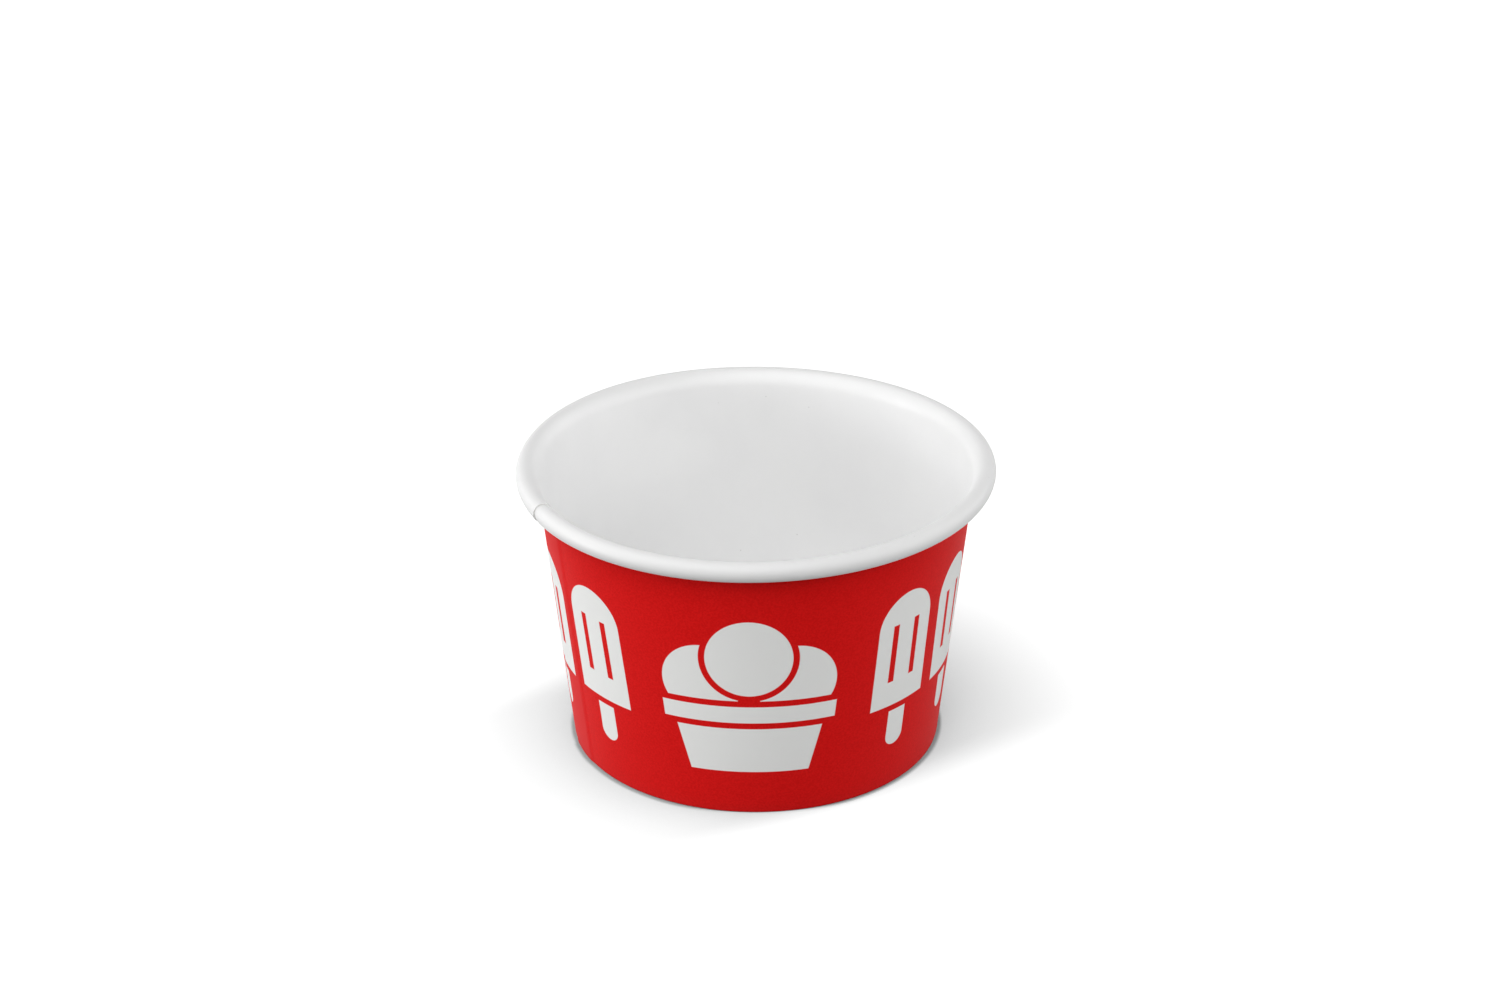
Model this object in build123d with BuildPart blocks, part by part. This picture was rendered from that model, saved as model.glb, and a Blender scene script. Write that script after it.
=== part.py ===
"""Paper ice cream cup: a cone of coated paperboard with a rolled rim, closed by a flanged bottom disc.

The side wall is one fan-shaped blank. It is wrapped into a cone and sealed to itself in a lapped side seam.
Its top edge is curled outwards into the rim, and its lower edge is folded in and up round the disc's flange.

Frame: millimetres, +Z up the axis, origin on the table at the middle of the foot, front towards -Y.
Azimuths are degrees about +Z from +X. In the upright section plane x is outwards and y is up, and a heading
is the direction of travel there, in degrees from x.
"""

import os
from math import asin, atan2, cos, degrees, hypot, radians, sin, sqrt, tan

from build123d import *

# Overall size
rim_diameter = 96.0  # over the rolled rim
cup_height = 59.6  # from the table to the top of the rim
foot_diameter = 75.0  # over the printed face, where the wall's line meets the table

# Paperboard
board = 0.40  # side wall
disc_board = 0.36  # bottom disc
coat_gap = 0.02  # melted coat between two layers at the foot

# Rolled rim, radii on the white face, which is the outside of the roll
roll_radius = 1.95
lip_radius = 4.6  # soft bend from the wall into the roll
lip_end_heading = 45.0
tuck_radius = 1.30  # the edge inside the roll
tuck_turn = 120.0  # degrees, from the roll's underside

# Foot
base_recess = 7.0  # from the table up to the disc's underside
hem_height = 5.8  # folded edge inside the foot
crease_radius = 0.05  # white face, where the sheet is folded at the foot
disc_bend_radius = 0.30  # inside the disc's turned-down edge

# Side seam, in degrees round the cup
seam_azimuth = 207.0  # edge of the inner lap, seen as a line across the rim
seam_lap = 12.0
seam_joggle = 2.6  # where the sheet steps out behind the inner lap

# Flats along each bend of the section
lip_flats = 2
roll_flats = 8
tuck_flats = 3
crease_flats = 1
disc_bend_flats = 2

# The wall's printed face is a line from the foot, tangent to the lip's arc
foot_radius = foot_diameter / 2
roll_centre = Vector(rim_diameter / 2 - roll_radius, cup_height - roll_radius)
lip_turn = radians(lip_end_heading)
lip_centre = roll_centre + (lip_radius - roll_radius) * Vector(sin(lip_turn), -cos(lip_turn))
lip_printed_radius = lip_radius - board
foot_to_lip = lip_centre - Vector(foot_radius, 0)
lip_distance = hypot(foot_to_lip.X, foot_to_lip.Y)
wall_angle = atan2(foot_to_lip.Y, foot_to_lip.X) + asin(lip_printed_radius / lip_distance)
wall_heading = degrees(wall_angle)
wall_up = Vector(cos(wall_angle), sin(wall_angle))
wall_in = Vector(-sin(wall_angle), cos(wall_angle))

# The foot's section: wall, flange and hem, side by side and square to the wall, on a flat sole
foot_stack = 2 * board + 2 * coat_gap + disc_board
foot_round = crease_radius + board
sole_width = (foot_stack - 2 * foot_round) / sin(wall_angle)
toe_setback = foot_round * tan(wall_angle / 2)
heel_setback = foot_round / tan(wall_angle / 2)
wall_run = sqrt(lip_distance**2 - lip_printed_radius**2) - toe_setback
hem_run = hem_height / sin(wall_angle) - heel_setback
hem_corner = Vector(foot_radius - foot_stack / sin(wall_angle), 0)
hem_tip = hem_corner + hem_height / sin(wall_angle) * wall_up


def radial_plane(azimuth):
    """Upright section plane through the axis, with x outwards and y up."""
    turn = radians(azimuth)
    return Plane(origin=(0, 0, 0), x_dir=(cos(turn), sin(turn), 0), z_dir=(sin(turn), -cos(turn), 0))


def bend(run, radius, turn, flats):
    """Turn after a run, drawn as equal flats whose ends lie on an arc, so each revolves into a plain cone."""
    arc = JernArc(run @ 1, run % 1, radius, turn, mode=Mode.PRIVATE)
    Polyline(*[arc @ (flat / flats) for flat in range(flats + 1)])
    return arc


def sheet_line(depth):
    """Section line at a depth below the white face, from the hem's edge round the foot to the tuck's edge."""
    start = hem_tip + (depth - board) * wall_in
    hem = Line(start, start - hem_run * wall_up)
    heel = bend(hem, crease_radius + depth, 180 - wall_heading, crease_flats)
    sole = Line(heel @ 1, heel @ 1 + Vector(sole_width, 0))
    toe = bend(sole, crease_radius + depth, wall_heading, crease_flats)
    wall = Line(toe @ 1, toe @ 1 + wall_run * wall_up)
    lip = bend(wall, lip_radius - depth, lip_end_heading - wall_heading, lip_flats)
    roll = bend(lip, roll_radius - depth, -lip_end_heading - 180, roll_flats)
    tuck = bend(roll, tuck_radius - depth, -tuck_turn, tuck_flats)
    return hem @ 0, tuck @ 1


def sheet_section(azimuth, near, far):
    """Section of the sheet between two depths below the white face."""
    with BuildSketch(radial_plane(azimuth)) as section:
        with BuildLine():
            near_hem, near_tuck = sheet_line(near)
            far_hem, far_tuck = sheet_line(far)
            Line(near_hem, far_hem)
            Line(near_tuck, far_tuck)
        make_face()
    return section.sketch


# Side wall
joggle_end = seam_azimuth + seam_joggle
lap_start = seam_azimuth - seam_lap
single_sheet = sheet_section(joggle_end, 0, board)
double_sheet = sheet_section(lap_start, 0, 2 * board)
outer_lap = sheet_section(seam_azimuth, board, 2 * board)

with BuildPart() as side_wall:
    revolve(single_sheet, axis=Axis.Z, revolution_arc=360 - seam_joggle - seam_lap)
    revolve(double_sheet, axis=Axis.Z, revolution_arc=seam_lap)
    loft([outer_lap, single_sheet])
    # The press that forms the foot flattens the thicker seam
    split(bisect_by=Plane.XY, keep=Keep.TOP)

# Bottom disc
disc_top = base_recess + disc_board
flange_foot = board + crease_radius + coat_gap
flange_depth = board + coat_gap
corner_radius = disc_bend_radius + disc_board
corner_turn = 180 - wall_heading


def flange_radius(height, depth):
    """Radius at a height on the line that lies a depth inside the wall's printed face."""
    return foot_radius - depth / sin(wall_angle) + height / tan(wall_angle)


with BuildPart() as bottom_disc:
    with BuildSketch(radial_plane(0)):
        with BuildLine():
            corner_setback = corner_radius * tan(radians(corner_turn) / 2)
            top_end = Vector(flange_radius(disc_top, flange_depth) - corner_setback, disc_top)
            flange_end = Vector(flange_radius(flange_foot, flange_depth), flange_foot)
            inner_end = Vector(flange_radius(flange_foot, flange_depth + disc_board), flange_foot)
            under_end = top_end - Vector(0, disc_board)
            top = Line((0, disc_top), top_end)
            outer_bend = bend(top, corner_radius, -corner_turn, disc_bend_flats)
            Line(outer_bend @ 1, flange_end)
            Line(flange_end, inner_end)
            under = Line((0, base_recess), under_end)
            inner_bend = bend(under, disc_bend_radius, -corner_turn, disc_bend_flats)
            Line(inner_bend @ 1, inner_end)
            Line(top @ 0, under @ 0)
        make_face()
    revolve(axis=Axis.Z)

# Labels and files
side_wall.part.label = "side_wall"
bottom_disc.part.label = "bottom_disc"

os.makedirs("parts", exist_ok=True)
export_step(side_wall.part, "parts/side_wall.step")
export_step(bottom_disc.part, "parts/bottom_disc.step")

print(f"wall leans {90 - wall_heading:.2f} degrees; sole {sole_width:.2f} mm wide")
for piece in (side_wall.part, bottom_disc.part):
    print(f"{piece.label}: {len(piece.solids())} solid, {piece.volume:.0f} mm3, valid {piece.is_valid}")
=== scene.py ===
"""Paper ice cream cup on a pale floor: the side wall with its rolled rim, and the bottom inside its foot."""

from math import asin, atan2, cos, radians, sin, sqrt, tan, tau

import bpy
from mathutils import Matrix, Vector


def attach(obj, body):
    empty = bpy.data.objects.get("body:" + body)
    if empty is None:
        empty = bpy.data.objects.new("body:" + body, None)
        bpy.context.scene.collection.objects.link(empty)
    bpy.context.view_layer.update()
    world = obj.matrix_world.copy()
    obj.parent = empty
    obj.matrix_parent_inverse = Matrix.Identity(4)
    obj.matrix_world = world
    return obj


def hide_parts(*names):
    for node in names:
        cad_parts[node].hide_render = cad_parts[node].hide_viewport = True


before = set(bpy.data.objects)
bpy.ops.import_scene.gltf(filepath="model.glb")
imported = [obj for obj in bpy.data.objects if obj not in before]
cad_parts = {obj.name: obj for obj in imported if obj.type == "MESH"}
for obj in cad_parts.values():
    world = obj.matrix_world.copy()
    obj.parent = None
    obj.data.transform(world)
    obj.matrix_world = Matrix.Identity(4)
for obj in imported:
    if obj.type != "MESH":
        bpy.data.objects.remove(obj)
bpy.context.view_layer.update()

MM = 0.001

# Side wall
# One fan-shaped blank of paperboard, coated white inside and printed red outside, wrapped into a cone and
# heat-sealed to itself in a lapped seam. Its top edge is curled outwards into the rim, and its lower edge is
# folded in and up round the bottom's flange.

rim_diameter = 96.0 * MM
cup_height = 59.6 * MM
foot_diameter = 75.0 * MM
board = 0.40 * MM
disc_board = 0.36 * MM
coat_gap = 0.02 * MM
roll_radius = 1.95 * MM
lip_radius = 4.6 * MM
lip_end_heading = radians(45)
tuck_radius = 1.30 * MM
tuck_turn = radians(120)
hem_height = 5.8 * MM
crease_radius = 0.05 * MM
seam_azimuth = radians(207)
seam_lap = radians(12)
seam_joggle = radians(2.6)

# The wall's printed face is a line from the foot, tangent to the lip's arc
foot_radius = foot_diameter / 2
roll_centre = Vector((rim_diameter / 2 - roll_radius, cup_height - roll_radius))
lip_centre = roll_centre + (lip_radius - roll_radius) * Vector((sin(lip_end_heading), -cos(lip_end_heading)))
lip_printed_radius = lip_radius - board
foot_to_lip = lip_centre - Vector((foot_radius, 0))
wall_heading = atan2(foot_to_lip.y, foot_to_lip.x) + asin(lip_printed_radius / foot_to_lip.length)
wall_up = Vector((cos(wall_heading), sin(wall_heading)))
wall_in = Vector((-sin(wall_heading), cos(wall_heading)))

# The foot's section: wall, flange and hem side by side on a flat sole
foot_stack = 2 * board + 2 * coat_gap + disc_board
foot_round = crease_radius + board
sole_width = (foot_stack - 2 * foot_round) / sin(wall_heading)
toe_setback = foot_round * tan(wall_heading / 2)
heel_setback = foot_round / tan(wall_heading / 2)
wall_run = sqrt(foot_to_lip.length**2 - lip_printed_radius**2) - toe_setback
hem_run = hem_height / sin(wall_heading) - heel_setback
hem_corner = Vector((foot_radius - foot_stack / sin(wall_heading), 0))
hem_start = hem_corner + hem_height / sin(wall_heading) * wall_up - board * wall_in


def feed(tree, sockets, terms):
    """Links or sets each socket, as its term is a socket itself or a plain value."""
    for socket, term in zip(sockets, terms):
        if isinstance(term, bpy.types.NodeSocket):
            tree.links.new(term, socket)
        else:
            socket.default_value = term


def work_out(tree, operation, *terms):
    """Adds one Math node, whose terms are sockets or numbers, and gives its output."""
    node = tree.nodes.new("ShaderNodeMath")
    node.operation = operation
    feed(tree, node.inputs, terms)
    return node.outputs[0]


def smooth_step(tree, value, low, high):
    """From 0 at low to 1 at high, without corners."""
    node = tree.nodes.new("ShaderNodeMapRange")
    node.interpolation_type = "SMOOTHSTEP"
    feed(tree, node.inputs, (value, low, high))
    return node.outputs[0]


least_turn = 1e-5  # keeps a straight run from a division by nothing


def run_group():
    """Node group that walks the section along one straight or bent run, as far as a row has come on it."""
    group = bpy.data.node_groups.new("sheet_run", "GeometryNodeTree")
    for name in ("Row", "Outward", "Up", "Heading", "First Row", "Rows", "Length", "Turn"):
        group.interface.new_socket(name, in_out="INPUT", socket_type="NodeSocketFloat")
    for name in ("Outward", "Up", "Heading"):
        group.interface.new_socket(name, in_out="OUTPUT", socket_type="NodeSocketFloat")
    given = group.nodes.new("NodeGroupInput").outputs
    result = group.nodes.new("NodeGroupOutput").inputs
    rows_come = work_out(group, "SUBTRACT", given["Row"], given["First Row"])
    share = work_out(group, "DIVIDE", rows_come, given["Rows"])
    share = work_out(group, "MINIMUM", work_out(group, "MAXIMUM", share, 0.0), 1.0)
    turned = work_out(group, "MULTIPLY", given["Turn"], share)
    half = work_out(group, "MULTIPLY_ADD", turned, 0.5, least_turn)
    arc = work_out(group, "MULTIPLY", given["Length"], share)
    chord = work_out(group, "MULTIPLY", arc, work_out(group, "DIVIDE", work_out(group, "SINE", half), half))
    along = work_out(group, "ADD", given["Heading"], half)
    outward = work_out(group, "MULTIPLY_ADD", chord, work_out(group, "COSINE", along), given["Outward"])
    up = work_out(group, "MULTIPLY_ADD", chord, work_out(group, "SINE", along), given["Up"])
    heading = work_out(group, "ADD", given["Heading"], turned)
    for name, value in (("Outward", outward), ("Up", up), ("Heading", heading)):
        group.links.new(value, result[name])
    return group


sheet_run = run_group()
rim_waves = (("Width", 2), ("Width", 3), ("Width", 4), ("Height", 1), ("Height", 2), ("Height", 3))
merge_distance = 0.001 * MM
crisp_angle = radians(50)


def sheet_tree(name, runs, coated, outer, cut_edge):
    """Tree that turns a section of runs round the axis and gives the sheet its board, lap and finishes."""
    tree = bpy.data.node_groups.new(name, "GeometryNodeTree")
    add, link = tree.nodes.new, tree.links.new
    tree.interface.new_socket("Geometry", in_out="OUTPUT", socket_type="NodeSocketGeometry")
    tree.interface.new_socket("Columns", in_out="INPUT", socket_type="NodeSocketInt")
    sizes = ["Crowding", "First Azimuth", "Sweep", "Start Outward", "Start Up", "Start Heading", "Board"]
    sizes += ["Joggle Start", "Joggle Sweep", "Lap Sweep", "Lap Squeeze", "Lap Glue", "Foot Press"]
    sizes += ["Wave Base", "Wave Top"]
    for kind, wave in rim_waves:
        sizes += [f"{kind} Wave {wave}", f"{kind} Wave {wave} Azimuth"]
    for run, _ in runs:
        sizes += [f"{run} Length", f"{run} Turn"]
    for size in sizes:
        tree.interface.new_socket(size, in_out="INPUT", socket_type="NodeSocketFloat")
    given = add("NodeGroupInput").outputs
    all_rows = sum(rows for _, rows in runs)

    # A flat grid: x counts round the cup, y counts along the section
    grid = add("GeometryNodeMeshGrid")
    link(given["Columns"], grid.inputs["Vertices X"])
    grid.inputs["Vertices Y"].default_value = all_rows + 1
    place = add("ShaderNodeSeparateXYZ")
    link(add("GeometryNodeInputPosition").outputs[0], place.inputs[0])
    column = work_out(tree, "ADD", place.outputs["X"], 0.5)
    row = work_out(tree, "MULTIPLY_ADD", place.outputs["Y"], float(all_rows), all_rows / 2)

    # Round the cup, with the columns crowded towards the seam
    wave = work_out(tree, "SINE", work_out(tree, "MULTIPLY", column, tau))
    crowding = work_out(tree, "DIVIDE", given["Crowding"], -tau)
    share = work_out(tree, "MULTIPLY_ADD", wave, crowding, column)
    travel = work_out(tree, "MULTIPLY", share, given["Sweep"])
    azimuth = work_out(tree, "SUBTRACT", given["First Azimuth"], travel)

    # Along the section
    outward, up, heading = given["Start Outward"], given["Start Up"], given["Start Heading"]
    first_row = 0
    for run, rows in runs:
        node = add("GeometryNodeGroup")
        node.node_tree = sheet_run
        for socket, value in (("Row", row), ("Outward", outward), ("Up", up), ("Heading", heading)):
            link(value, node.inputs[socket])
        node.inputs["First Row"].default_value = first_row
        node.inputs["Rows"].default_value = rows
        link(given[f"{run} Length"], node.inputs["Length"])
        link(given[f"{run} Turn"], node.inputs["Turn"])
        outward, up, heading = node.outputs
        first_row += rows

    # The seal presses both layers of the lap thinner, and behind the inner one the sheet steps down
    joggle_end = work_out(tree, "ADD", given["Joggle Start"], given["Joggle Sweep"])
    joggle = smooth_step(tree, travel, given["Joggle Start"], joggle_end)
    lap_end = work_out(tree, "ADD", given["Lap Sweep"], given["Joggle Sweep"])
    inner_lap = work_out(tree, "SUBTRACT", 1.0, smooth_step(tree, travel, given["Lap Sweep"], lap_end))
    lapped = work_out(tree, "MAXIMUM", joggle, inner_lap)
    squeeze = work_out(tree, "MULTIPLY", given["Lap Squeeze"], given["Board"])
    thickness = work_out(tree, "SUBTRACT", given["Board"], work_out(tree, "MULTIPLY", squeeze, lapped))
    step = work_out(tree, "ADD", work_out(tree, "SUBTRACT", given["Board"], squeeze), given["Lap Glue"])
    near = work_out(tree, "MULTIPLY", joggle, step)
    far = work_out(tree, "ADD", near, thickness)

    # On the table the foot's press flattens the lap to one board
    extra = work_out(tree, "MULTIPLY_ADD", given["Lap Squeeze"], -2.0, 1.0)
    pressed = work_out(tree, "MULTIPLY_ADD", inner_lap, given["Foot Press"], joggle)
    extra = work_out(tree, "MULTIPLY", extra, pressed)
    press = work_out(tree, "SUBTRACT", 1.0, work_out(tree, "DIVIDE", 1.0, work_out(tree, "ADD", extra, 1.0)))

    # A paper cup is never quite round, most of all at its rim
    swell = smooth_step(tree, up, given["Wave Base"], given["Wave Top"])
    moved = {"Width": 0.0, "Height": 0.0}
    for kind, wave in rim_waves:
        angle = work_out(tree, "SUBTRACT", azimuth, given[f"{kind} Wave {wave} Azimuth"])
        ripple = work_out(tree, "COSINE", work_out(tree, "MULTIPLY", angle, float(wave)))
        moved[kind] = work_out(tree, "MULTIPLY_ADD", ripple, given[f"{kind} Wave {wave}"], moved[kind])
    wide = work_out(tree, "MULTIPLY", moved["Width"], swell)
    lift = work_out(tree, "MULTIPLY", moved["Height"], swell)

    def face_place(depth):
        """Place of the face that lies a depth below the coated one, flattened on the table at the lap."""
        radius = work_out(tree, "MULTIPLY_ADD", depth, work_out(tree, "SINE", heading), outward)
        radius = work_out(tree, "ADD", radius, wide)
        drop = work_out(tree, "MULTIPLY", depth, work_out(tree, "COSINE", heading))
        height = work_out(tree, "SUBTRACT", up, drop)
        below = work_out(tree, "SUBTRACT", given["Board"], work_out(tree, "MINIMUM", height, given["Board"]))
        height = work_out(tree, "MULTIPLY_ADD", below, press, height)
        height = work_out(tree, "ADD", height, lift)
        vector = add("ShaderNodeCombineXYZ")
        link(work_out(tree, "MULTIPLY", radius, work_out(tree, "COSINE", azimuth)), vector.inputs["X"])
        link(work_out(tree, "MULTIPLY", radius, work_out(tree, "SINE", azimuth)), vector.inputs["Y"])
        link(height, vector.inputs["Z"])
        return vector.outputs[0]

    def keep(geometry, name, data_type, domain, value):
        """Stores a value on the mesh under a name."""
        node = add("GeometryNodeStoreNamedAttribute")
        node.data_type = data_type
        node.domain = domain
        node.inputs["Name"].default_value = name
        link(geometry, node.inputs["Geometry"])
        link(value, node.inputs["Value"])
        return node.outputs["Geometry"]

    def kept(name, data_type):
        """Reads a value that was stored."""
        node = add("GeometryNodeInputNamedAttribute")
        node.data_type = data_type
        node.inputs["Name"].default_value = name
        return node.outputs["Attribute"]

    def merged(geometry):
        """Closes the seams and poles where points fall together."""
        node = add("GeometryNodeMergeByDistance")
        node.inputs["Distance"].default_value = merge_distance
        link(geometry, node.inputs["Geometry"])
        return node.outputs["Geometry"]

    # The coated face, then the outer face and the cut edges drawn from it
    stored = keep(grid.outputs["Mesh"], "outer_place", "FLOAT_VECTOR", "POINT", face_place(far))
    coated_face = add("GeometryNodeSetPosition")
    link(stored, coated_face.inputs["Geometry"])
    link(face_place(near), coated_face.inputs["Position"])
    inside = merged(coated_face.outputs["Geometry"])
    drawn = add("GeometryNodeExtrudeMesh")
    drawn.inputs["Individual"].default_value = False
    drawn.inputs["Offset Scale"].default_value = 0.0
    link(inside, drawn.inputs["Mesh"])
    shell = keep(drawn.outputs["Mesh"], "outer_face", "BOOLEAN", "FACE", drawn.outputs["Top"])
    shell = keep(shell, "cut_edge", "BOOLEAN", "FACE", drawn.outputs["Side"])
    outer_face = add("GeometryNodeSetPosition")
    link(shell, outer_face.inputs["Geometry"])
    link(drawn.outputs["Top"], outer_face.inputs["Selection"])
    link(kept("outer_place", "FLOAT_VECTOR"), outer_face.inputs["Position"])
    turned = add("GeometryNodeFlipFaces")
    link(outer_face.outputs["Geometry"], turned.inputs["Mesh"])
    joined = add("GeometryNodeJoinGeometry")
    link(inside, joined.inputs["Geometry"])
    link(turned.outputs["Mesh"], joined.inputs["Geometry"])
    sheet = merged(joined.outputs["Geometry"])

    # Smooth faces between crisp cut edges
    faces = add("GeometryNodeSetShadeSmooth")
    link(sheet, faces.inputs["Geometry"])
    crisp = add("GeometryNodeSetShadeSmooth")
    crisp.domain = "EDGE"
    crisp.inputs["Shade Smooth"].default_value = False
    sharp = work_out(tree, "GREATER_THAN", add("GeometryNodeInputMeshEdgeAngle").outputs[0], crisp_angle)
    link(faces.outputs["Geometry"], crisp.inputs["Geometry"])
    link(sharp, crisp.inputs["Selection"])

    real = add("GeometryNodeRealizeInstances")
    link(crisp.outputs["Geometry"], real.inputs["Geometry"])
    finished = real.outputs["Geometry"]
    for material, where in ((coated, None), (outer, "outer_face"), (cut_edge, "cut_edge")):
        node = add("GeometryNodeSetMaterial")
        node.inputs["Material"].default_value = material
        link(finished, node.inputs["Geometry"])
        if where:
            link(kept(where, "BOOLEAN"), node.inputs["Selection"])
        finished = node.outputs["Geometry"]
    link(finished, add("NodeGroupOutput").inputs["Geometry"])
    return tree


def formed_sheet(name, tree, sizes):
    """Runs a sheet's tree with its sizes and gives a plain mesh object."""
    maker = bpy.data.objects.new(name + "_blank", bpy.data.meshes.new(name + "_blank"))
    bpy.context.scene.collection.objects.link(maker)
    forming = maker.modifiers.new("forming", "NODES")
    forming.node_group = tree
    for item in tree.interface.items_tree:
        if item.in_out == "INPUT":
            forming[item.identifier] = sizes[item.name]
    shaped = maker.evaluated_get(bpy.context.evaluated_depsgraph_get())
    mesh = bpy.data.meshes.new_from_object(shaped)
    bpy.data.objects.remove(maker)
    mesh.name = name
    for scratch in ("outer_place", "outer_face", "cut_edge"):
        if scratch in mesh.attributes:
            mesh.attributes.remove(mesh.attributes[scratch])
    piece = bpy.data.objects.new(name, mesh)
    bpy.context.scene.collection.objects.link(piece)
    return piece


# The coat: a thin white film on the board, with faint clouds where it took up the board's uneven surface.
# Over the rim's curl it is painted greyer, a painted shade, and it holds a few grey specks of fibre. Lengths
# are in mm.
lining_white = (0.90, 0.90, 0.898, 1)
lining_cloud = (0.88, 0.88, 0.88, 1)
rim_painted_shade = (0.785, 0.785, 0.783, 1)
speck_grey = (0.66, 0.66, 0.65, 1)
rim_shade_start = 43.2  # out from the axis
rim_shade_end = 45.2
coat_cloud_size = 14
coat_grain_size = 0.5
coat_relief = 0.006
speck_spacing = 6.0
speck_size = 0.12


def paper_material(name, roughness, specular):
    """New material with its tree, its Principled shader and the place on the object in millimetres."""
    material = bpy.data.materials.new(name)
    material.use_nodes = True
    tree = material.node_tree
    shader = tree.nodes["Principled BSDF"]
    shader.inputs["Roughness"].default_value = roughness
    shader.inputs["Specular IOR Level"].default_value = specular
    place = tree.nodes.new("ShaderNodeVectorMath")
    place.operation = "SCALE"
    place.inputs["Scale"].default_value = 1 / MM
    tree.links.new(tree.nodes.new("ShaderNodeTexCoord").outputs["Object"], place.inputs[0])
    return material, tree, shader, place.outputs[0]


def grain(tree, place, size, detail):
    """Noise with spots of about that size in millimetres."""
    noise = tree.nodes.new("ShaderNodeTexNoise")
    noise.inputs["Scale"].default_value = 1 / size
    noise.inputs["Detail"].default_value = detail
    tree.links.new(place, noise.inputs["Vector"])
    return noise.outputs[0]


def clouds(tree, place, size, detail):
    """Grain whose spots go the whole way from one colour to the other."""
    return smooth_step(tree, grain(tree, place, size, detail), 0.3, 0.7)


def blend_colours(tree, share, first, second):
    """Mix of two colours, which are sockets or plain colours."""
    node = tree.nodes.new("ShaderNodeMix")
    node.data_type = "RGBA"
    feed(tree, (node.inputs[0], node.inputs[6], node.inputs[7]), (share, first, second))
    return node.outputs[2]


def relief(tree, shader, height, depth):
    """Bump of that depth in millimetres."""
    bump = tree.nodes.new("ShaderNodeBump")
    bump.inputs["Distance"].default_value = depth * MM
    tree.links.new(height, bump.inputs["Height"])
    tree.links.new(bump.outputs[0], shader.inputs["Normal"])


def round_place(tree, place):
    """Across, back, up and radius in millimetres."""
    cut = tree.nodes.new("ShaderNodeSeparateXYZ")
    tree.links.new(place, cut.inputs[0])
    x, y, z = cut.outputs
    square = work_out(tree, "MULTIPLY_ADD", x, x, work_out(tree, "MULTIPLY", y, y))
    return x, y, z, work_out(tree, "SQRT", square)


coated_lining, tree, shader, place = paper_material("coated_lining", roughness=0.42, specular=0.35)
lining = blend_colours(tree, clouds(tree, place, coat_cloud_size, detail=3), lining_white, lining_cloud)
radius = round_place(tree, place)[3]
# Painted shade: the rim's curl and the top of the lip are painted greyer than the rest of the coat
lining = blend_colours(tree, smooth_step(tree, radius, rim_shade_start, rim_shade_end), lining, rim_painted_shade)
specks = tree.nodes.new("ShaderNodeTexVoronoi")
specks.inputs["Scale"].default_value = 1 / speck_spacing
tree.links.new(place, specks.inputs["Vector"])
away = work_out(tree, "MULTIPLY", specks.outputs["Distance"], speck_spacing)
lining = blend_colours(tree, smooth_step(tree, away, speck_size / 2, speck_size * 1.5), speck_grey, lining)
tree.links.new(lining, shader.inputs["Base Color"])
relief(tree, shader, grain(tree, place, coat_grain_size, detail=2), coat_relief)

# The print: flat red ink over the board, with tubs of scoops and pairs of ice lollies left white. Lengths are
# in millimetres, across and up the wall.
ink_red = (0.71, 0.0022, 0.0020, 1)
ink_thin = (0.80, 0.006, 0.006, 1)
ink_painted_sheen = (0.75, 0.014, 0.015, 1)
print_white = (0.92, 0.925, 0.91, 1)
print_pitch = radians(60)
print_start = radians(268)
print_foot = 10.0
print_edge = 0.09
ink_speckle_size = 0.4
ink_grain_size = 0.6
ink_relief = 0.008
bounce_grey = (0.22, 0.22, 0.22, 1)

printed_face, tree, shader, place = paper_material("printed_face", roughness=0.60, specular=0.04)
shader.inputs["Sheen Weight"].default_value = 0.07
shader.inputs["Sheen Roughness"].default_value = 0.5
x, y, z, radius = round_place(tree, place)
azimuth = work_out(tree, "ARCTAN2", y, x)
turn = work_out(tree, "SUBTRACT", azimuth, print_start)
place_number = work_out(tree, "ROUND", work_out(tree, "DIVIDE", turn, print_pitch))
own_turn = work_out(tree, "MULTIPLY_ADD", place_number, -print_pitch, turn)
across = work_out(tree, "ABSOLUTE", work_out(tree, "MULTIPLY", own_turn, radius))
rise = work_out(tree, "DIVIDE", z, sin(wall_heading))


def disc_shape(centre_across, centre_rise, size):
    """Distance in millimetres outside a printed circle."""
    aside = work_out(tree, "SUBTRACT", across, centre_across)
    over = work_out(tree, "SUBTRACT", rise, centre_rise)
    apart = work_out(tree, "MULTIPLY_ADD", aside, aside, work_out(tree, "MULTIPLY", over, over))
    return work_out(tree, "SUBTRACT", work_out(tree, "SQRT", apart), size)


def either(*shapes):
    """Distance outside the nearest of several shapes."""
    nearest = shapes[0]
    for shape in shapes[1:]:
        nearest = work_out(tree, "MINIMUM", nearest, shape)
    return nearest


def both(*shapes):
    """Distance outside what several shapes have in common."""
    farthest = shapes[0]
    for shape in shapes[1:]:
        farthest = work_out(tree, "MAXIMUM", farthest, shape)
    return farthest


def outside(shape, gap):
    """All that lies at least a gap from a shape."""
    return work_out(tree, "SUBTRACT", gap, shape)


def above(level):
    """All that is printed above a level."""
    return work_out(tree, "SUBTRACT", level, rise)


def below(level):
    """All that is printed below a level."""
    return work_out(tree, "SUBTRACT", rise, level)


def strip(centre_across, half_width):
    """All that lies within a half width of an upright line."""
    aside = work_out(tree, "ABSOLUTE", work_out(tree, "SUBTRACT", across, centre_across))
    return work_out(tree, "SUBTRACT", aside, half_width)


def wedge(level, half_width, slope):
    """All that lies within a half width at a level, which grows by the slope for each millimetre up."""
    edge = work_out(tree, "MULTIPLY_ADD", work_out(tree, "SUBTRACT", rise, level), slope, half_width)
    return work_out(tree, "MULTIPLY", work_out(tree, "SUBTRACT", across, edge), cos(atan2(slope, 1)))


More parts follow.
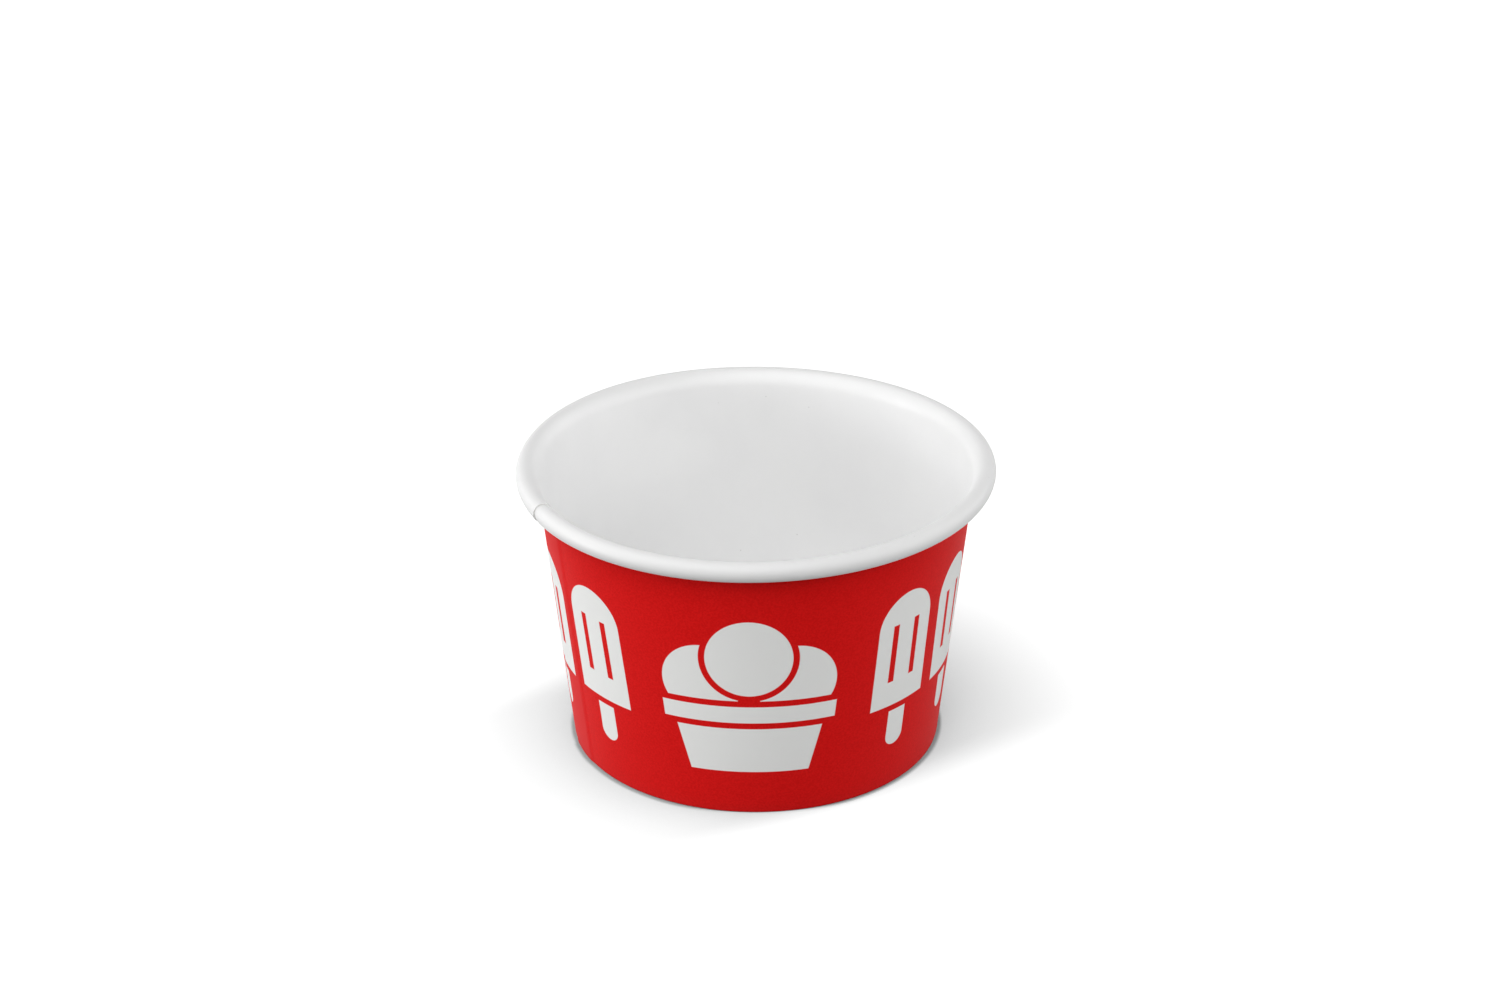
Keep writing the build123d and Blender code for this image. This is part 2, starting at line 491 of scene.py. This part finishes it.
# A tub with three scoops
scoop_gap = 1.3
scoop_foot = 26.9
top_scoop = disc_shape(0, 36.7, 8.6)
low_scoops = both(disc_shape(9.2, 31.2, 8.2), above(scoop_foot), outside(top_scoop, scoop_gap))
tub_band_foot = 21.7
tub_band_top = 25.5
tub_band = both(wedge(level=22, half_width=17.0, slope=0.12), above(tub_band_foot), below(tub_band_top))
tub_bowl_top = 20.3
tub_bowl = both(wedge(print_foot, half_width=11.6, slope=0.27), above(print_foot), below(tub_bowl_top))
tub = either(top_scoop, low_scoops, tub_band, tub_bowl)

# A pair of ice lollies, each with two grooves and a stick
lolly_aside = 9.2
lolly_half = 7.3
lolly_foot = 19.8
lolly_shoulder = 38.0
lolly_body = either(disc_shape(lolly_aside, lolly_shoulder, lolly_half), below(lolly_shoulder))
lolly_body = both(lolly_body, strip(lolly_aside, lolly_half), above(lolly_foot))
groove_aside = 2.9
groove_half = 0.75
groove_foot = 25.5
groove_top = 38.5
inner_groove = strip(lolly_aside - groove_aside, groove_half)
outer_groove = strip(lolly_aside + groove_aside, groove_half)
grooves = both(either(inner_groove, outer_groove), above(groove_foot), below(groove_top))
stick_half = 2.3
stick_foot = 12.3
stick_top = 18.4
stick = both(strip(lolly_aside, stick_half), above(stick_foot), below(stick_top))
stick = either(stick, disc_shape(lolly_aside, stick_foot, stick_half))
lollies = either(both(lolly_body, outside(grooves, 0)), stick)

odd = work_out(tree, "FLOORED_MODULO", place_number, 2.0)
shape = work_out(tree, "MULTIPLY_ADD", work_out(tree, "SUBTRACT", lollies, tub), odd, tub)
white_print = work_out(tree, "SUBTRACT", 1.0, smooth_step(tree, shape, -print_edge, print_edge))

# The ink runs a little way up the hem inside the foot, and the rest of the hem is bare board
hem_bleed = 2.6
hem_bleed_edge = 0.1
hem_radius = (foot_radius - foot_stack / 2) / MM
hem_line = work_out(tree, "MULTIPLY_ADD", z, 1 / tan(wall_heading), hem_radius)
inward = work_out(tree, "SUBTRACT", hem_line, radius)
hem_bare = both(work_out(tree, "MULTIPLY", inward, -1.0), work_out(tree, "SUBTRACT", hem_bleed, z))
hem_bare = work_out(tree, "SUBTRACT", 1.0, smooth_step(tree, hem_bare, -hem_bleed_edge, hem_bleed_edge))
bare = work_out(tree, "MAXIMUM", white_print, hem_bare)

red = blend_colours(tree, clouds(tree, place, ink_speckle_size, detail=2), ink_red, ink_thin)

# Over the sealed lap the ink is painted a little paler, a painted sheen, up to where the sheet has stepped
# down behind it
lap_near = seam_azimuth - seam_lap - tau
lap_far = seam_azimuth - tau
lap_start = smooth_step(tree, azimuth, lap_near - radians(0.2), lap_near + radians(0.2))
lap_end = smooth_step(tree, azimuth, lap_far - radians(0.5), lap_far + radians(2))
lap_sheen = work_out(tree, "SUBTRACT", lap_start, lap_end)
red = blend_colours(tree, lap_sheen, red, ink_painted_sheen)
printed = blend_colours(tree, bare, red, print_white)

# Light that bounces off the print is grey: in the studio the ink throws no red on what stands round it
bounced = tree.nodes.new("ShaderNodeLightPath").outputs["Is Diffuse Ray"]
tree.links.new(blend_colours(tree, bounced, printed, bounce_grey), shader.inputs["Base Color"])
relief(tree, shader, grain(tree, place, ink_grain_size, detail=2), ink_relief)

# Raw board where the blank was cut
cut_light = (0.86, 0.855, 0.84, 1)
cut_dark = (0.74, 0.73, 0.71, 1)
fibre_size = 0.12
fibre_relief = 0.03
cut_board, tree, shader, place = paper_material("cut_board", roughness=0.85, specular=0.2)
fibres = grain(tree, place, fibre_size, detail=3)
tree.links.new(blend_colours(tree, fibres, cut_light, cut_dark), shader.inputs["Base Color"])
relief(tree, shader, fibres, fibre_relief)

# The section's runs in turn, each with its rows of faces
wall_runs = (("Hem", 6), ("Heel", 5), ("Sole", 1), ("Toe", 5))
wall_runs += (("Wall", 18), ("Lip", 8), ("Roll", 28), ("Tuck", 14))
wall_tree = sheet_tree("side_wall_blank", wall_runs, coated_lining, printed_face, cut_board)
lip_turn = lip_end_heading - wall_heading
roll_turn = -lip_end_heading - radians(180)
wall_sizes = {
    "Columns": 341,
    "Crowding": 0.75,
    "First Azimuth": seam_azimuth,
    "Sweep": radians(360) + seam_lap,
    "Start Outward": hem_start.x,
    "Start Up": hem_start.y,
    "Start Heading": wall_heading - radians(180),
    "Board": board,
    "Joggle Start": radians(360) - seam_joggle,
    "Joggle Sweep": seam_joggle,
    "Lap Sweep": seam_lap,
    "Lap Squeeze": 0.3,
    "Lap Glue": 0.01 * MM,
    "Foot Press": 1.0,
    "Wave Base": 9 * MM,
    "Wave Top": 58 * MM,
    "Width Wave 2": 0.31 * MM,
    "Width Wave 2 Azimuth": radians(39),
    "Width Wave 3": 0.27 * MM,
    "Width Wave 3 Azimuth": radians(10),
    "Width Wave 4": 0.23 * MM,
    "Width Wave 4 Azimuth": radians(32),
    "Height Wave 1": 0.30 * MM,
    "Height Wave 1 Azimuth": radians(178),
    "Height Wave 2": 0.10 * MM,
    "Height Wave 2 Azimuth": radians(-16),
    "Height Wave 3": 0.15 * MM,
    "Height Wave 3 Azimuth": radians(-53),
    "Hem Length": hem_run,
    "Hem Turn": 0.0,
    "Heel Length": crease_radius * (radians(180) - wall_heading),
    "Heel Turn": radians(180) - wall_heading,
    "Sole Length": sole_width,
    "Sole Turn": 0.0,
    "Toe Length": crease_radius * wall_heading,
    "Toe Turn": wall_heading,
    "Wall Length": wall_run,
    "Wall Turn": 0.0,
    "Lip Length": lip_radius * -lip_turn,
    "Lip Turn": lip_turn,
    "Roll Length": roll_radius * -roll_turn,
    "Roll Turn": roll_turn,
    "Tuck Length": tuck_radius * tuck_turn,
    "Tuck Turn": -tuck_turn,
}
side_wall = formed_sheet("formed_side_wall", wall_tree, wall_sizes)
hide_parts("side_wall")
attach(side_wall, "root")

# Bottom disc
# One round blank of white board, coated on its upper face, set up inside the foot. Its edge is bent down as a
# flange, which the coat seals between the wall and the hem.

base_recess = 7.0 * MM
disc_bend_radius = 0.30 * MM
disc_top = base_recess + disc_board
flange_depth = board + coat_gap
flange_foot = board + crease_radius + coat_gap
corner_radius = disc_bend_radius + disc_board
corner_turn = radians(180) - wall_heading
top_radius = foot_radius - flange_depth / sin(wall_heading) + disc_top / tan(wall_heading)
top_run = top_radius - corner_radius * tan(corner_turn / 2)
flange_run = (disc_top - flange_foot) / sin(wall_heading) - corner_radius * tan(corner_turn / 2)

# The board's bare underside, creamier than the coat, with lengths in millimetres
bare_light = (0.80, 0.79, 0.765, 1)
bare_dark = (0.76, 0.75, 0.725, 1)
bare_cloud_size = 9
bare_grain_size = 0.4
bare_relief = 0.015
bare_board, tree, shader, place = paper_material("bare_board", roughness=0.62, specular=0.25)
bare_colour = blend_colours(tree, clouds(tree, place, bare_cloud_size, detail=4), bare_light, bare_dark)
tree.links.new(bare_colour, shader.inputs["Base Color"])
relief(tree, shader, grain(tree, place, bare_grain_size, detail=3), bare_relief)

disc_runs = (("Top", 24), ("Corner", 8), ("Flange", 6))
disc_tree = sheet_tree("bottom_disc_blank", disc_runs, coated_lining, bare_board, cut_board)
disc_sizes = dict.fromkeys(wall_sizes, 0.0)
disc_sizes |= {
    "Columns": 241,
    "Sweep": radians(360),
    "Start Up": disc_top,
    "Board": disc_board,
    "Joggle Start": radians(720),
    "Joggle Sweep": radians(1),
    "Wave Base": cup_height,
    "Wave Top": 2 * cup_height,
    "Top Length": top_run,
    "Top Turn": 0.0,
    "Corner Length": corner_radius * corner_turn,
    "Corner Turn": -corner_turn,
    "Flange Length": flange_run,
    "Flange Turn": 0.0,
}
bottom_disc = formed_sheet("formed_bottom_disc", disc_tree, disc_sizes)
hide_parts("bottom_disc")
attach(bottom_disc, "root")

# Floor
# A plain white studio floor without a visible edge, which takes the cup's soft shadow. To the eye it also
# glows, and where the cup is near it glows less, which gives the shade its shape.

floor_half = 3.0
lit_grey = (0.35, 0.35, 0.35, 1)  # as it throws light on the cup
seen_grey = (0.50, 0.50, 0.50, 1)
floor_glow = 0.75
shade_reach = 40 * MM
band_azimuth = radians(33)
band_full = 30 * MM
band_end = 44 * MM
band_depth = 0.79
band_deepening = 1.2  # for each metre to the right
contact_reach = 1.2 * MM
contact_depth = 1.2
contact_start = -38 * MM  # there is none under the front of the foot
contact_full = -33 * MM

floor_mesh = bpy.data.meshes.new("studio_floor")
floor_corners = [(-floor_half, -floor_half, 0), (floor_half, -floor_half, 0)]
floor_corners += [(floor_half, floor_half, 0), (-floor_half, floor_half, 0)]
floor_mesh.from_pydata(floor_corners, [], [(0, 1, 2, 3)])
studio_floor = bpy.data.objects.new("studio_floor", floor_mesh)
bpy.context.scene.collection.objects.link(studio_floor)
floor_white = bpy.data.materials.new("floor_white")
floor_white.use_nodes = True
tree = floor_white.node_tree
tree.nodes.clear()
lit_floor = tree.nodes.new("ShaderNodeBsdfDiffuse")
lit_floor.inputs["Color"].default_value = lit_grey
seen_floor = tree.nodes.new("ShaderNodeBsdfDiffuse")
seen_floor.inputs["Color"].default_value = seen_grey
nearness = tree.nodes.new("ShaderNodeAmbientOcclusion")
nearness.inputs["Distance"].default_value = shade_reach
floor_place = tree.nodes.new("ShaderNodeSeparateXYZ")
tree.links.new(tree.nodes.new("ShaderNodeTexCoord").outputs["Object"], floor_place.inputs[0])

# The shade falls in a band as wide as the cup, from the front left to the back right, deeper to the right
off_band = work_out(tree, "MULTIPLY", floor_place.outputs["X"], -sin(band_azimuth))
off_band = work_out(tree, "MULTIPLY_ADD", floor_place.outputs["Y"], cos(band_azimuth), off_band)
off_band = work_out(tree, "ABSOLUTE", off_band)
in_band = work_out(tree, "SUBTRACT", 1.0, smooth_step(tree, off_band, band_full, band_end))
hidden = work_out(tree, "MULTIPLY", work_out(tree, "SUBTRACT", 1.0, nearness.outputs["AO"]), in_band)
depth = work_out(tree, "MULTIPLY_ADD", floor_place.outputs["X"], band_deepening, band_depth)
hidden = work_out(tree, "MULTIPLY", hidden, depth)
closeness = tree.nodes.new("ShaderNodeAmbientOcclusion")
closeness.inputs["Distance"].default_value = contact_reach
by_foot = smooth_step(tree, floor_place.outputs["Y"], contact_start, contact_full)
contact = work_out(tree, "MULTIPLY", work_out(tree, "SUBTRACT", 1.0, closeness.outputs["AO"]), by_foot)
glow = tree.nodes.new("ShaderNodeEmission")
strength = work_out(tree, "SUBTRACT", floor_glow, hidden)
strength = work_out(tree, "MULTIPLY_ADD", contact, -contact_depth, strength)
tree.links.new(work_out(tree, "MAXIMUM", strength, 0.0), glow.inputs["Strength"])
seen_parts = tree.nodes.new("ShaderNodeAddShader")
tree.links.new(seen_floor.outputs[0], seen_parts.inputs[0])
tree.links.new(glow.outputs[0], seen_parts.inputs[1])


def seen_share(tree):
    """1 where the eye meets a surface, at once or in gloss or glass, and 0 where it only gives light."""
    ray = tree.nodes.new("ShaderNodeLightPath").outputs
    seen = work_out(tree, "ADD", ray["Is Camera Ray"], ray["Is Glossy Ray"])
    return work_out(tree, "MINIMUM", work_out(tree, "ADD", seen, ray["Is Transmission Ray"]), 1.0)


chosen = tree.nodes.new("ShaderNodeMixShader")
tree.links.new(seen_share(tree), chosen.inputs[0])
tree.links.new(lit_floor.outputs[0], chosen.inputs[1])
tree.links.new(seen_parts.outputs[0], chosen.inputs[2])
surface = tree.nodes.new("ShaderNodeOutputMaterial")
tree.links.new(chosen.outputs[0], surface.inputs["Surface"])
floor_mesh.materials.append(floor_white)

# Studio light
# Soft square lamps among pale surroundings: a large one above, one high in front, three at the left from low
# to high, two at the right, and a pair behind.

lamp_aim = Vector((0, 0, 30 * MM))
ambient = 0.12


def soft_lamp(name, place, size, power):
    """Square area lamp that faces the cup."""
    light = bpy.data.lights.new(name, "AREA")
    light.size = size
    light.energy = power
    lamp = bpy.data.objects.new(name, light)
    bpy.context.scene.collection.objects.link(lamp)
    lamp.location = place
    lamp.rotation_euler = (lamp_aim - Vector(place)).to_track_quat("-Z", "Y").to_euler()


soft_lamp("top_lamp", (-0.3, -0.45, 1.1), 1.2, 6.5)
soft_lamp("front_lamp", (0, -0.9, 0.95), 0.8, 2.9)
soft_lamp("left_lamp", (-1.3, -0.25, 0.35), 0.6, 4.4)
soft_lamp("left_low_lamp", (-1.3, -0.35, 0.16), 0.3, 3.8)
soft_lamp("left_high_lamp", (-0.7, 0.1, 0.9), 0.6, 1.4)
soft_lamp("left_rear_lamp", (-1.1, 0.6, 0.5), 0.6, 2.2)
soft_lamp("right_lamp", (1.3, -0.25, 0.4), 0.6, 3.4)
soft_lamp("front_right_lamp", (0.8, -0.8, 0.6), 0.6, 2.9)
soft_lamp("right_rear_lamp", (1.1, 0.6, 0.5), 0.6, 2.6)

world = bpy.data.worlds.new("studio_white")
bpy.context.scene.world = world
world.use_nodes = True
tree = world.node_tree
background = tree.nodes["Background"]
background.inputs["Color"].default_value = (1, 1, 1, 1)
whiteness = work_out(tree, "MULTIPLY_ADD", seen_share(tree), 1 - ambient, ambient)
tree.links.new(whiteness, background.inputs["Strength"])

# Camera
# The photograph's view: a long lens from the front, looking down over the near side of the rim.

camera_place = Vector((-1.06 * MM, -578.7 * MM, 329.6 * MM))
camera_pitch = radians(25.76)
camera_roll = radians(-0.25)
lens = bpy.data.cameras.new("photo_camera")
lens.sensor_width = 36
lens.lens = 76.8
camera = bpy.data.objects.new("photo_camera", lens)
bpy.context.scene.collection.objects.link(camera)
ahead = Vector((0, cos(camera_pitch), -sin(camera_pitch)))
level_up = Vector((0, sin(camera_pitch), cos(camera_pitch)))
level_right = Vector((1, 0, 0))
right = cos(camera_roll) * level_right + sin(camera_roll) * level_up
upward = cos(camera_roll) * level_up - sin(camera_roll) * level_right
camera.matrix_world = Matrix.Translation(camera_place) @ Matrix((right, upward, -ahead)).transposed().to_4x4()
bpy.context.scene.camera = camera

bpy.context.scene.view_settings.view_transform = "Standard"
